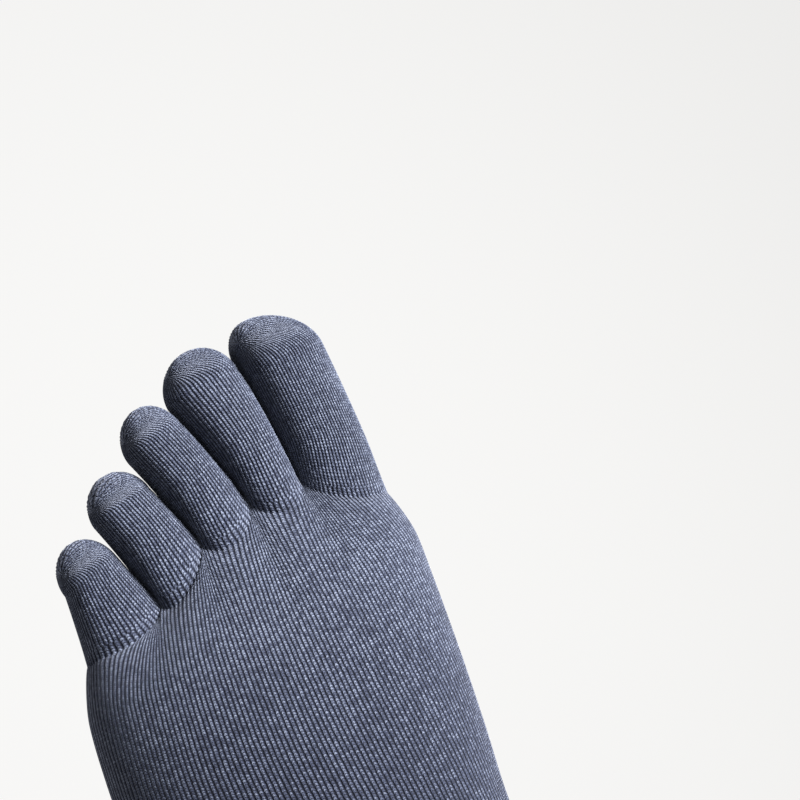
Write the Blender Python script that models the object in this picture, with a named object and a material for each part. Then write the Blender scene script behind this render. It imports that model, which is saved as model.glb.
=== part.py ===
"""Left toe sock in fine rib knit, in the form it has on a foot: metres, +Z up, toes toward +Y, big toe at +X.

The sock is knitted in one run, so its sections are hollow solids that follow each other with a thin seam between
them: five toe pockets, the foot, the heel, the leg and the cuff. The origin is the centre of the cuff's opening.
"""

import math
from collections import namedtuple

import bmesh
import bpy
from mathutils import Vector

# Named sizes
FOOT_LENGTH = 0.253  # heel to the reach of the longest toe
TOE_LENGTH = 0.046  # big toe, from its web to its tip
BALL_WIDTH = 0.098
TOE_HEIGHT = 0.026  # big toe, sole to nail
INSTEP_HEIGHT = 0.073
ANKLE_RISE = 0.037  # from the instep to the front of the ankle
ANKLE_DEPTH = 0.064
ANKLE_WIDTH = 0.069
LEG_RISE = 0.030  # from the front of the ankle to the cuff
CUFF_HEIGHT = 0.022
WALL = 0.0014  # knit of the toes, foot, heel and leg
CUFF_WALL = 0.0020  # doubled welt
TOE_GAP = 0.0008  # between two toes that lie side by side
SEAM = 0.0003  # between two knitted sections
TOE_SEAM_AT = 0.0026  # from the web to the seam between foot and toe pocket
ROOT_FADE = 0.015  # the length over which the valleys between the toes fade into the foot

# Where the foot ends and the bend round the heel begins, and the rest of the length
FORE_LENGTH = FOOT_LENGTH - ANKLE_DEPTH
ANKLE_HEIGHT = INSTEP_HEIGHT + ANKLE_RISE
CUFF_BASE = ANKLE_HEIGHT + LEG_RISE
CUFF_TOP = CUFF_BASE + CUFF_HEIGHT

# Lines between the toes, from the inner side of the foot to the outer one. across: share of the ball's width.
# ahead: share of FORE_LENGTH in front of the ankle. lean: sideways over forward. middle and half: height of the
# web's middle and half its depth, as shares of the big toe's height.
Groove = namedtuple("Groove", "across ahead lean middle half")
GROOVES = (
    Groove(0.468, 0.675, -0.045, 0.66, 0.30),
    Groove(0.233, 0.741, -0.090, 0.58, 0.17),
    Groove(0.076, 0.740, -0.305, 0.57, 0.18),
    Groove(-0.084, 0.710, -0.330, 0.55, 0.18),
    Groove(-0.235, 0.646, -0.320, 0.53, 0.17),
    Groove(-0.456, 0.605, 0.065, 0.50, 0.25),
)

# Toes, from the inner side of the foot. top, outer and inner: columns of stitches over the toe, on its outer and
# on its inner side. inner_reach and outer_reach: length of both sides up to the tip's dome, and dome: the dome's
# length, as shares of TOE_LENGTH. The heights of the toe's axis and its half thickness, at the root, the knuckle
# and the tip, are shares of TOE_HEIGHT. turn and lift: where the stitches close, in degrees off the toe's axis.
# crease: how far the root's upper side lies behind its webs, as a share of TOE_LENGTH. sweep: how far the tip
# bends outward, as a share of the toe's half width.
Toe = namedtuple(
    "Toe",
    "name top outer inner inner_reach outer_reach dome root_z knuckle_z tip_z root_half knuckle_half tip_half"
    " turn lift crease sweep",
)
TOES = (
    Toe("toe_pocket_big", 6, 2, 4, 1.010, 0.645, 0.34, 0.60, 0.62, 0.58, 0.44, 0.48, 0.49, 45, 25, 0.10, 0.30),
    Toe("toe_pocket_second", 4, 2, 2, 0.735, 0.665, 0.25, 0.59, 0.65, 0.52, 0.38, 0.385, 0.37, 50, 22, 0.15, -0.08),
    Toe("toe_pocket_third", 4, 2, 2, 0.565, 0.560, 0.22, 0.57, 0.62, 0.50, 0.37, 0.36, 0.35, 60, 22, 0.15, -0.12),
    Toe("toe_pocket_fourth", 4, 2, 2, 0.385, 0.545, 0.21, 0.54, 0.57, 0.48, 0.36, 0.35, 0.34, 68, 28, 0.10, -0.06),
    Toe("toe_pocket_little", 4, 3, 2, 0.360, 0.410, 0.21, 0.51, 0.53, 0.47, 0.35, 0.34, 0.34, 55, 30, 0.06, -0.08),
)

# Sections of the foot, heel and leg, each a closed curve through a top and a bottom point. medial and lateral are
# its reach to both sides, slant turns it about the vertical, crown moves its top toward the big toe and waist is
# the height share of its widest place.
Section = namedtuple("Section", "top_y top_z bottom_y bottom_z medial lateral slant crown waist")
# Shares: y of FORE_LENGTH in front of the ankle, z of INSTEP_HEIGHT, sideways of BALL_WIDTH
FOOT_SECTIONS = (
    Section(0.650, 0.425, 0.645, 0.038, 0.470, 0.470, 0.15, 0.08, 0.42),
    Section(0.580, 0.505, 0.585, 0.027, 0.482, 0.503, 0.15, 0.10, 0.42),
    Section(0.508, 0.590, 0.508, 0.034, 0.462, 0.517, 0.13, 0.12, 0.40),
    Section(0.423, 0.680, 0.423, 0.055, 0.432, 0.519, 0.09, 0.14, 0.38),
    Section(0.333, 0.775, 0.328, 0.082, 0.397, 0.490, 0.05, 0.14, 0.38),
    Section(0.243, 0.877, 0.228, 0.096, 0.358, 0.444, 0.02, 0.13, 0.40),
    Section(0.164, 0.993, 0.116, 0.082, 0.350, 0.393, 0.00, 0.10, 0.42),
)
# Shares: y of ANKLE_DEPTH, top_z of ANKLE_RISE above the instep, bottom_z of ANKLE_HEIGHT, sideways of ANKLE_WIDTH
HEEL_SECTIONS = (
    Section(1.320, 0.200, 1.000, 0.027, 0.507, 0.493, 0.00, 0.10, 0.45),
    Section(1.200, 0.375, 0.590, 0.005, 0.500, 0.449, 0.00, 0.05, 0.47),
    Section(1.120, 0.524, 0.205, 0.030, 0.493, 0.428, 0.00, 0.00, 0.48),
    Section(1.063, 0.673, -0.030, 0.191, 0.493, 0.413, 0.00, 0.00, 0.50),
    Section(1.023, 0.822, -0.047, 0.373, 0.514, 0.428, 0.00, 0.00, 0.50),
    Section(1.000, 1.000, 0.015, 0.555, 0.536, 0.457, 0.00, 0.00, 0.50),
)
# Shares: y of ANKLE_DEPTH, z between the ankle's front and the cuff's base, sideways of ANKLE_WIDTH
LEG_SECTIONS = (
    Section(0.992, 0.280, 0.080, -0.780, 0.522, 0.442, 0.00, 0.00, 0.50),
    Section(1.000, 0.640, 0.120, -0.060, 0.507, 0.420, 0.00, 0.00, 0.50),
    Section(1.010, 1.000, 0.125, 0.740, 0.507, 0.413, 0.00, 0.00, 0.50),
)
# Shares: y of ANKLE_DEPTH, z of CUFF_HEIGHT above the cuff's base, sideways of ANKLE_WIDTH
CUFF_SECTIONS = (Section(1.020, 1.000, 0.115, 1.000, 0.514, 0.420, 0.00, 0.00, 0.50),)

SQUARENESS = 2.25  # 2 is an ellipse, more is squarer
TOE_SQUARENESS = 2.4  # the same for the toes, which press on each other
CURVE_STEPS = 180  # points in which a section is measured
WELD = 1e-6  # points this close are one point
CAP_BEND = 0.6  # how far the stitches run straight over the tip before they turn, as a share of the closure's rise
TIP_DROP = 0.10  # how far a toe's tip hangs below its axis, as a share of its thickness

BODY_COLUMNS = 2 * sum(toe.top for toe in TOES) + TOES[0].inner + TOES[-1].outer
TOP_COLUMNS = sum(toe.top for toe in TOES)
FOOT_ROWS = (0, 0.25, 0.5, 0.75, 1.0, 1.3, 1.65, 2, 2.5, 3, 3.5, 4, 4.5, 5, 5.5)
HEEL_ROWS = (6, 6.5, 7, 7.5, 8, 8.5, 9, 9.5, 10, 10.5, 11)
LEG_ROWS = (12, 12.5, 13, 13.5, 14, 14.5, 15)
CUFF_ROWS = (15, 15.3, 15.65, 16)
TOE_ROWS = 5  # rows of faces from a toe's seam to its dome
DOME_ROWS = (1.2, 1.38, 1.55, 1.7, 1.84)

# Colours of the yarn, linear
TOE_COLOUR = (0.115, 0.125, 0.18)
FOOT_COLOUR = (0.12, 0.13, 0.185)
HEEL_COLOUR = (0.105, 0.115, 0.165)
CUFF_COLOUR = (0.10, 0.11, 0.16)


def mix(a, b, share):
    """The value this share of the way from a to b."""
    return a + (b - a) * share


def smooth(share):
    share = min(max(share, 0.0), 1.0)
    return share * share * (3 - 2 * share)


def power(value, exponent):
    return math.copysign(abs(value) ** exponent, value)


def sized_sections():
    """Every section of the foot, heel, leg and cuff in metres, from the toe roots to the opening."""
    sections = []
    for s in FOOT_SECTIONS:
        sections.append(s._replace(
            top_y=ANKLE_DEPTH + s.top_y * FORE_LENGTH, top_z=s.top_z * INSTEP_HEIGHT,
            bottom_y=ANKLE_DEPTH + s.bottom_y * FORE_LENGTH, bottom_z=s.bottom_z * INSTEP_HEIGHT,
            medial=s.medial * BALL_WIDTH, lateral=s.lateral * BALL_WIDTH))
    for s in HEEL_SECTIONS:
        sections.append(s._replace(
            top_y=s.top_y * ANKLE_DEPTH, top_z=INSTEP_HEIGHT + s.top_z * ANKLE_RISE,
            bottom_y=s.bottom_y * ANKLE_DEPTH, bottom_z=s.bottom_z * ANKLE_HEIGHT,
            medial=s.medial * ANKLE_WIDTH, lateral=s.lateral * ANKLE_WIDTH))
    for table, base, rise in ((LEG_SECTIONS, ANKLE_HEIGHT, LEG_RISE), (CUFF_SECTIONS, CUFF_BASE, CUFF_HEIGHT)):
        for s in table:
            sections.append(s._replace(
                top_y=s.top_y * ANKLE_DEPTH, top_z=base + s.top_z * rise,
                bottom_y=s.bottom_y * ANKLE_DEPTH, bottom_z=base + s.bottom_z * rise,
                medial=s.medial * ANKLE_WIDTH, lateral=s.lateral * ANKLE_WIDTH))
    return sections


SECTIONS = sized_sections()
OPENING = Vector((
    (SECTIONS[-1].medial - SECTIONS[-1].lateral) / 2,
    (SECTIONS[-1].top_y + SECTIONS[-1].bottom_y) / 2,
    CUFF_TOP,
))


def section_at(station):
    """The section at a whole or broken row number, on a smooth curve through the rows."""
    last = len(SECTIONS) - 1
    low = min(int(station), last - 1)
    t = station - low
    before, start, end, after = (SECTIONS[min(max(low + i, 0), last)] for i in (-1, 0, 1, 2))
    values = []
    for p0, p1, p2, p3 in zip(before, start, end, after):
        pull = (2 * p0 - 5 * p1 + 4 * p2 - p3) * t * t + (3 * p1 - p0 - 3 * p2 + p3) * t * t * t
        values.append(p1 + 0.5 * ((p2 - p0) * t + pull))
    return Section(*values)


def section_point(section, angle):
    """A point of a section; angle 0 is its inner side, a quarter turn its top and a half turn its outer side."""
    across = power(math.cos(angle), 2 / SQUARENESS)
    rise = power(math.sin(angle), 2 / SQUARENESS)
    x = across * (section.medial if across > 0 else section.lateral)
    x += section.crown * max(rise, 0) * (section.medial + section.lateral) / 2
    height = section.waist + rise * (1 - section.waist if rise > 0 else section.waist)
    y = mix(section.bottom_y, section.top_y, height) + section.slant * x
    return Vector((x, y, mix(section.bottom_z, section.top_z, height)))


def section_columns(section, columns):
    """The section's points at the given stitch columns, evenly spaced over its upper and its lower half."""
    half = CURVE_STEPS // 2
    curve = [section_point(section, 2 * math.pi * i / CURVE_STEPS) for i in range(CURVE_STEPS + 1)]
    first = -TOES[0].inner / 2
    turn = TOP_COLUMNS + TOES[-1].outer / 2
    halves = ((curve[:half + 1], first, turn), (curve[half:], turn, BODY_COLUMNS + first))
    measured = []
    for points, start, end in halves:
        run = [0.0]
        for a, b in zip(points, points[1:]):
            run.append(run[-1] + (b - a).length)
        measured.append((points, run, start, end))
    found = []
    for column in columns:
        column = (column - first) % BODY_COLUMNS + first
        points, run, start, end = measured[0] if column <= turn else measured[1]
        target = run[-1] * (column - start) / (end - start)
        i = min(max(sum(1 for r in run if r <= target) - 1, 0), len(run) - 2)
        found.append(points[i].lerp(points[i + 1], (target - run[i]) / (run[i + 1] - run[i])))
    return found


def toe_columns(toe):
    return 2 * toe.top + toe.outer + toe.inner


def groove_point(groove, length):
    """A point at the toes' side line, this far forward of the web."""
    return Vector((
        groove.across * BALL_WIDTH + groove.lean * length,
        ANKLE_DEPTH + groove.ahead * FORE_LENGTH + length,
        0.0,
    ))


def toe_sides(index, share):
    """The inner and the outer side of a toe at this share of its length, with the gap to its neighbours."""
    toe = TOES[index]
    inner_length = share * toe.inner_reach * TOE_LENGTH
    outer_length = share * toe.outer_reach * TOE_LENGTH
    inner = groove_point(GROOVES[index], inner_length)
    outer = groove_point(GROOVES[index + 1], outer_length)
    apart = (inner - outer).normalized() * TOE_GAP / 2
    inner -= apart * smooth(inner_length / TOE_SEAM_AT) * (index > 0)
    outer += apart * smooth(outer_length / TOE_SEAM_AT) * (index < len(TOES) - 1)
    return inner, outer


def through(root, knuckle, tip, share):
    """A value that is root at 0, knuckle at the middle and tip at 1, on one parabola."""
    return root + (4 * knuckle - 3 * root - tip) * share + (2 * root + 2 * tip - 4 * knuckle) * share * share


def root_shape(index, column):
    """Where a stitch column crosses the toe's root: sideways share (1 inner, -1 outer) and height in metres."""
    toe = TOES[index]
    middle = toe.root_z * TOE_HEIGHT
    half = toe.root_half * TOE_HEIGHT
    inner, outer = GROOVES[index], GROOVES[index + 1]
    inner_free, outer_free = index == 0, index == len(TOES) - 1
    step = 2 * math.pi / toe_columns(toe)
    start = toe.inner / 2 * step if inner_free else 0.0
    end = math.pi - (toe.outer / 2 * step if outer_free else 0.0)
    over = column <= toe.top
    if over or toe.top + toe.outer <= column <= 2 * toe.top + toe.outer:
        share = column / toe.top if over else 1 - (column - toe.top - toe.outer) / toe.top
        angle = mix(start, end, share)
        sign = 1 if over else -1
        webs = [g.middle * TOE_HEIGHT + sign * g.half * TOE_HEIGHT - middle for g in (inner, outer)]
        base = mix(0 if inner_free else webs[0], 0 if outer_free else webs[1], share)
        return math.cos(angle), middle + base + (sign * half - base) * math.sin(angle)
    if column < toe.top + toe.outer:
        share = (column - toe.top) / toe.outer
        groove, free, side = outer, outer_free, -1
        angle = mix(end, 2 * math.pi - end, share)
    else:
        share = 1 - (column - 2 * toe.top - toe.outer) / toe.inner
        groove, free, side = inner, inner_free, 1
        angle = mix(start, -start, share)
    if free:
        return math.cos(angle), middle + half * math.sin(angle)
    return side, (groove.middle + groove.half * (1 - 2 * share)) * TOE_HEIGHT


def toe_frame(index, share):
    """Middle, sideways half vector and upward half vector of a toe's section."""
    toe = TOES[index]
    inner, outer = toe_sides(index, share)
    middle = (inner + outer) / 2
    middle.z = through(toe.root_z, toe.knuckle_z, toe.tip_z, share) * TOE_HEIGHT
    half = through(toe.root_half, toe.knuckle_half, toe.tip_half, share) * TOE_HEIGHT
    return middle, (inner - outer) / 2, Vector((0, 0, half))


def toe_angle(toe, column):
    return (column + toe.inner / 2) * 2 * math.pi / toe_columns(toe)


def fuller(across, up):
    """How far a toe's surface stands out past an ellipse in this direction."""
    reach = max(math.hypot(across, up), WELD)
    return ((abs(across) / reach) ** TOE_SQUARENESS + (abs(up) / reach) ** TOE_SQUARENESS) ** (-1 / TOE_SQUARENESS)


def toe_point(index, share, column):
    """A point of a toe: share 0 is its root, 1 the start of its dome and 2 the closure of its stitches."""
    toe = TOES[index]
    column %= toe_columns(toe)
    angle = toe_angle(toe, column)
    middle, side, rise = toe_frame(index, min(share, 1))
    if share <= 1:
        across, up = math.cos(angle), math.sin(angle)
        round_point = middle + (side * across + rise * up) * fuller(across, up)
        across, height = root_shape(index, column)
        root_point = middle + side * across
        root_point.z += height - toe.root_z * TOE_HEIGHT
        if column < toe.top:
            root_point.y -= math.sin(math.pi * column / toe.top) * toe.crease * TOE_LENGTH
        along = share * (toe.inner_reach + toe.outer_reach) / 2 * TOE_LENGTH
        return root_point.lerp(round_point, smooth(along / ROOT_FADE))
    ahead = Vector((-side.y, side.x, 0)).normalized() * toe.dome * TOE_LENGTH
    edge = Vector((math.cos(angle), 0, math.sin(angle)))
    turn, lift = math.radians(toe.turn), math.radians(toe.lift)
    closure = Vector((-math.sin(turn) * math.cos(lift), math.cos(turn) * math.cos(lift), math.sin(lift)))
    straight = CAP_BEND * math.asin(closure.y)
    bend = edge * math.cos(straight) + Vector((0, math.sin(straight), 0))
    t = share - 1
    way = (edge * (1 - t) ** 2 + bend * 2 * t * (1 - t) + closure * t * t).normalized()
    drop = rise * TIP_DROP * way.y * way.y
    swept = side * toe.sweep * way.y * way.y
    return middle + (side * way.x + rise * way.z) * fuller(way.x, way.z) + ahead * way.y - drop - swept


def toe_share(index, length):
    """The share of a toe's length that lies this far in front of its root."""
    toe = TOES[index]
    return length / ((toe.inner_reach + toe.outer_reach) / 2 * TOE_LENGTH)


def root_ring():
    """The foot's first ring, where all five toes begin."""
    ring = []
    for index, toe in enumerate(TOES):
        ring += [toe_point(index, 0, column) for column in range(toe.top)]
    last = len(TOES) - 1
    ring += [toe_point(last, 0, TOES[last].top + column) for column in range(TOES[last].outer)]
    for index in range(last, -1, -1):
        toe = TOES[index]
        ring += [toe_point(index, 0, toe.top + toe.outer + column) for column in range(toe.top)]
    ring += [toe_point(0, 0, 2 * TOES[0].top + TOES[0].outer + column) for column in range(TOES[0].inner)]
    return ring


def body_ring(station):
    """The ring of stitches at a station: the toe roots at 0, then the tables' rows up to the opening."""
    ring = section_columns(section_at(station), range(BODY_COLUMNS))
    behind = SECTIONS[0].top_y - section_at(station).top_y
    fade = smooth(behind / ROOT_FADE)
    if fade < 1:
        ring = [root.lerp(point, fade) for root, point in zip(root_ring(), ring)]
    return ring


def seam_stations(rows, ghost_before, ghost_after):
    """The rows of one knitted section: both ends drawn in by half a seam, between the rows of its neighbours."""
    first = rows[0] + station_step(rows[0], 1) * (ghost_before is not None)
    last = rows[-1] - station_step(rows[-1], -1) * (ghost_after is not None)
    inside = [first, *rows[1:-1], last]
    before = [] if ghost_before is None else [ghost_before]
    after = [] if ghost_after is None else [ghost_after]
    return before + inside + after


def station_step(station, direction):
    """How far the station number moves over half a seam, where the rows lie closest together."""
    probe = 0.05
    here, there = section_at(station), section_at(station + direction * probe)
    top = math.hypot(there.top_y - here.top_y, there.top_z - here.top_z)
    bottom = math.hypot(there.bottom_y - here.bottom_y, there.bottom_z - here.bottom_z)
    return probe * SEAM / 2 / min(top, bottom)


def add_grid(bm, rows, known, flip, ghosts):
    """Adds closed rings of points as quads and returns the faces that only serve the neighbours' normals."""
    def vertex(point):
        key = tuple(round(value / WELD) for value in point)
        if key not in known:
            known[key] = bm.verts.new(point)
        return known[key]

    rings = [[vertex(point) for point in ring] for ring in rows]
    helpers = []
    for number, (a, b) in enumerate(zip(rings, rings[1:])):
        for i in range(len(a)):
            j = (i + 1) % len(a)
            if len(b) == 1:
                corners = (a[i], a[j], b[0])
            else:
                corners = (a[i], a[j], b[j], b[i])
            face = bm.faces.new(corners[::-1] if flip else corners)
            if number in ghosts:
                helpers.append(face)
    return helpers


def shell(name, bm, helpers, wall, colour):
    """Gives the knit its thickness: an inner face behind the outer one, joined at every rim."""
    bm.normal_update()
    normals = {v: v.normal.copy() for v in bm.verts}
    bmesh.ops.delete(bm, geom=helpers, context="FACES")
    faces = list(bm.faces)
    rims = [edge for edge in bm.edges if edge.is_boundary]
    inner = {v: bm.verts.new(v.co - normals[v] * wall) for v in list(bm.verts)}
    for face in faces:
        bm.faces.new([inner[v] for v in reversed(face.verts)])
    for edge in rims:
        loop = edge.link_loops[0]
        a, b = loop.vert, loop.link_loop_next.vert
        bm.faces.new((b, a, inner[a], inner[b]))
    for vertex in bm.verts:
        vertex.co -= OPENING
    mesh = bpy.data.meshes.new(name)
    bmesh.ops.triangulate(bm, faces=bm.faces[:])
    bm.to_mesh(mesh)
    bm.free()
    mesh.shade_smooth()
    mesh.set_sharp_from_angle(angle=math.radians(50))
    part = bpy.data.objects.new(name, mesh)
    bpy.context.scene.collection.objects.link(part)
    mesh.materials.append(knit_material(name + "_knit", colour))
    return part


def knit_material(name, colour):
    material = bpy.data.materials.new(name)
    material.use_nodes = True
    shader = material.node_tree.nodes["Principled BSDF"]
    shader.inputs["Base Color"].default_value = (*colour, 1)
    shader.inputs["Roughness"].default_value = 0.9
    shader.inputs["Metallic"].default_value = 0.0
    material.diffuse_color = (*colour, 1)
    return material


def add_toe(index):
    toe = TOES[index]
    columns = range(toe_columns(toe))
    seam = toe_share(index, TOE_SEAM_AT)
    half_seam = toe_share(index, SEAM / 2)
    tube = [mix(seam, 1, (i + 1) / TOE_ROWS) for i in range(TOE_ROWS)]
    shares = (0.5 * seam, seam + half_seam, *tube, *DOME_ROWS)
    rows = [[toe_point(index, share, c) for c in columns] for share in shares]
    rows.append([toe_point(index, 2, 0)])
    bm = bmesh.new()
    helpers = add_grid(bm, rows, {}, flip=True, ghosts={0})
    shell(toe.name, bm, helpers, WALL, TOE_COLOUR)


def add_foot():
    bm = bmesh.new()
    known = {}
    stations = seam_stations([*FOOT_ROWS, HEEL_ROWS[0]], None, HEEL_ROWS[1])
    rows = [body_ring(station) for station in stations]
    helpers = add_grid(bm, rows, known, flip=False, ghosts={len(rows) - 2})
    for index, toe in enumerate(TOES):
        seam = toe_share(index, TOE_SEAM_AT)
        half_seam = toe_share(index, SEAM / 2)
        shares = (0, 0.5 * seam, seam - half_seam, mix(seam, 1, 1 / TOE_ROWS))
        rows = [[toe_point(index, share, c) for c in range(toe_columns(toe))] for share in shares]
        helpers += add_grid(bm, rows, known, flip=True, ghosts={2})
    shell("foot_tube", bm, helpers, WALL, FOOT_COLOUR)


def add_tube(name, rows, before, after, wall, colour):
    bm = bmesh.new()
    stations = seam_stations(rows, before, after)
    rings = [body_ring(station) for station in stations]
    ghosts = {0} | ({len(rings) - 2} if after is not None else set())
    helpers = add_grid(bm, rings, {}, flip=False, ghosts=ghosts)
    shell(name, bm, helpers, wall, colour)


def build():
    for old in list(bpy.data.objects):
        bpy.data.objects.remove(old)
    for index in range(len(TOES)):
        add_toe(index)
    add_foot()
    add_tube("heel_pocket", [*HEEL_ROWS, LEG_ROWS[0]], FOOT_ROWS[-1], LEG_ROWS[1], WALL, HEEL_COLOUR)
    add_tube("leg_tube", LEG_ROWS, HEEL_ROWS[-1], CUFF_ROWS[1], WALL, FOOT_COLOUR)
    add_tube("cuff", CUFF_ROWS, LEG_ROWS[-2], None, CUFF_WALL, CUFF_COLOUR)


build()
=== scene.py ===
"""Left toe sock in fine rib knit, in the form it has on a foot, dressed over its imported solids.

Metres, +Z up, toes toward +Y, big toe at +X; the origin is the centre of the cuff's opening. The tables and
the functions under "Form" give the sock's surface. Each knitted section is a fine grid on it, with a real
ridge for every wale (a column of stitches), and its material draws the single stitches.
"""

import math
from collections import namedtuple

import bpy
import numpy as np
from mathutils import Matrix, Vector


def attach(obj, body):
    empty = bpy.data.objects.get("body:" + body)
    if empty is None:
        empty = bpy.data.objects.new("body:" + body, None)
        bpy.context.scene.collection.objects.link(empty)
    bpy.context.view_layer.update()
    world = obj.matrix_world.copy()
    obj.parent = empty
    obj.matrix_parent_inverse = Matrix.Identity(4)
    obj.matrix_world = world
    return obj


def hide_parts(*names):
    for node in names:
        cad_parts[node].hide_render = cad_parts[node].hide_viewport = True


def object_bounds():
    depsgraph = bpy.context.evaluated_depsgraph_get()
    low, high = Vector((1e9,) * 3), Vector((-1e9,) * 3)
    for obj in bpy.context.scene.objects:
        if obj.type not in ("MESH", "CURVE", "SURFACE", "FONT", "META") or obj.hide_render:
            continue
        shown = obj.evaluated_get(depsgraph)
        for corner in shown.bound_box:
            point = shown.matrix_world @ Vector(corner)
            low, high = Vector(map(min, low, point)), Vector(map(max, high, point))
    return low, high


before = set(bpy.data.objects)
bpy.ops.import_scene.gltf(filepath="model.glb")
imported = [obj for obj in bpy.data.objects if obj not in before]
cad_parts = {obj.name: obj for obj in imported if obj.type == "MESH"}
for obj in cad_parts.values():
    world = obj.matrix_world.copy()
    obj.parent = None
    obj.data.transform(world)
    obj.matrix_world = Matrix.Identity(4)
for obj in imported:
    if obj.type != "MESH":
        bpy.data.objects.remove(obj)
first_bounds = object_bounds()

# Named sizes, the same as the solids'
FOOT_LENGTH = 0.253  # heel to the reach of the longest toe
TOE_LENGTH = 0.046  # big toe, from its web to its tip
BALL_WIDTH = 0.098
TOE_HEIGHT = 0.026  # big toe, sole to nail
INSTEP_HEIGHT = 0.073
ANKLE_RISE = 0.037  # from the instep to the front of the ankle
ANKLE_DEPTH = 0.064
ANKLE_WIDTH = 0.069
LEG_RISE = 0.030  # from the front of the ankle to the cuff
CUFF_HEIGHT = 0.022
WALL = 0.0014  # knit of the toes, foot, heel and leg
CUFF_WALL = 0.0020  # doubled welt
TOE_GAP = 0.0008  # between two toes that lie side by side
TOE_SEAM_AT = 0.0026  # from the web to the seam between foot and toe pocket
ROOT_FADE = 0.015  # the length over which the valleys between the toes fade into the foot
FORE_LENGTH = FOOT_LENGTH - ANKLE_DEPTH
ANKLE_HEIGHT = INSTEP_HEIGHT + ANKLE_RISE
CUFF_BASE = ANKLE_HEIGHT + LEG_RISE
CUFF_TOP = CUFF_BASE + CUFF_HEIGHT

# Lines between the toes, from the inner side of the foot to the outer one. across: share of the ball's
# width. ahead: share of FORE_LENGTH in front of the ankle. lean: sideways over forward. middle and half:
# height of the web's middle and half its depth, as shares of the big toe's height.
Groove = namedtuple("Groove", "across ahead lean middle half")
GROOVES = (
    Groove(0.468, 0.675, -0.045, 0.66, 0.30),
    Groove(0.233, 0.741, -0.090, 0.58, 0.17),
    Groove(0.076, 0.740, -0.305, 0.57, 0.18),
    Groove(-0.084, 0.710, -0.330, 0.55, 0.18),
    Groove(-0.235, 0.646, -0.320, 0.53, 0.17),
    Groove(-0.456, 0.605, 0.065, 0.50, 0.25),
)

# Toes, from the inner side of the foot. top, outer and inner: columns of stitches over the toe, on its
# outer and on its inner side. inner_reach and outer_reach: length of both sides up to the tip's dome,
# and dome: the dome's length, as shares of TOE_LENGTH. The heights of the toe's axis and its half
# thickness, at the root, the knuckle and the tip, are shares of TOE_HEIGHT. turn and lift: where the
# stitches close, in degrees off the toe's axis. crease: how far the root's upper side lies behind its
# webs, as a share of TOE_LENGTH. sweep: how far the tip bends outward, as a share of the toe's half
# width.
Toe = namedtuple(
    "Toe",
    "name top outer inner inner_reach outer_reach dome root_z knuckle_z tip_z"
    " root_half knuckle_half tip_half turn lift crease sweep",
)
TOES = (
    Toe(
        "toe_pocket_big", 6, 2, 4, 1.010, 0.645, 0.34,
        0.60, 0.62, 0.58, 0.44, 0.48, 0.49, 45, 25, 0.10, 0.30,
    ),
    Toe(
        "toe_pocket_second", 4, 2, 2, 0.735, 0.665, 0.25,
        0.59, 0.65, 0.52, 0.38, 0.385, 0.37, 50, 22, 0.15, -0.08,
    ),
    Toe(
        "toe_pocket_third", 4, 2, 2, 0.565, 0.560, 0.22,
        0.57, 0.62, 0.50, 0.37, 0.36, 0.35, 60, 22, 0.15, -0.12,
    ),
    Toe(
        "toe_pocket_fourth", 4, 2, 2, 0.385, 0.545, 0.21,
        0.54, 0.57, 0.48, 0.36, 0.35, 0.34, 68, 28, 0.10, -0.06,
    ),
    Toe(
        "toe_pocket_little", 4, 3, 2, 0.360, 0.410, 0.21,
        0.51, 0.53, 0.47, 0.35, 0.34, 0.34, 55, 30, 0.06, -0.08,
    ),
)

# Sections of the foot, heel and leg, each a closed curve through a top and a bottom point. medial and
# lateral are its reach to both sides, slant turns it about the vertical, crown moves its top toward the
# big toe and waist is the height share of its widest place.
Section = namedtuple("Section", "top_y top_z bottom_y bottom_z medial lateral slant crown waist")
# Shares: y of FORE_LENGTH in front of the ankle, z of INSTEP_HEIGHT, sideways of BALL_WIDTH
FOOT_SECTIONS = (
    Section(0.650, 0.425, 0.645, 0.038, 0.470, 0.470, 0.15, 0.08, 0.42),
    Section(0.580, 0.505, 0.585, 0.027, 0.482, 0.503, 0.15, 0.10, 0.42),
    Section(0.508, 0.590, 0.508, 0.034, 0.462, 0.517, 0.13, 0.12, 0.40),
    Section(0.423, 0.680, 0.423, 0.055, 0.432, 0.519, 0.09, 0.14, 0.38),
    Section(0.333, 0.775, 0.328, 0.082, 0.397, 0.490, 0.05, 0.14, 0.38),
    Section(0.243, 0.877, 0.228, 0.096, 0.358, 0.444, 0.02, 0.13, 0.40),
    Section(0.164, 0.993, 0.116, 0.082, 0.350, 0.393, 0.00, 0.10, 0.42),
)
# Shares: y of ANKLE_DEPTH, top_z of ANKLE_RISE above the instep, bottom_z of ANKLE_HEIGHT, sideways of
# ANKLE_WIDTH
HEEL_SECTIONS = (
    Section(1.320, 0.200, 1.000, 0.027, 0.507, 0.493, 0.00, 0.10, 0.45),
    Section(1.200, 0.375, 0.590, 0.005, 0.500, 0.449, 0.00, 0.05, 0.47),
    Section(1.120, 0.524, 0.205, 0.030, 0.493, 0.428, 0.00, 0.00, 0.48),
    Section(1.063, 0.673, -0.030, 0.191, 0.493, 0.413, 0.00, 0.00, 0.50),
    Section(1.023, 0.822, -0.047, 0.373, 0.514, 0.428, 0.00, 0.00, 0.50),
    Section(1.000, 1.000, 0.015, 0.555, 0.536, 0.457, 0.00, 0.00, 0.50),
)
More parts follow.
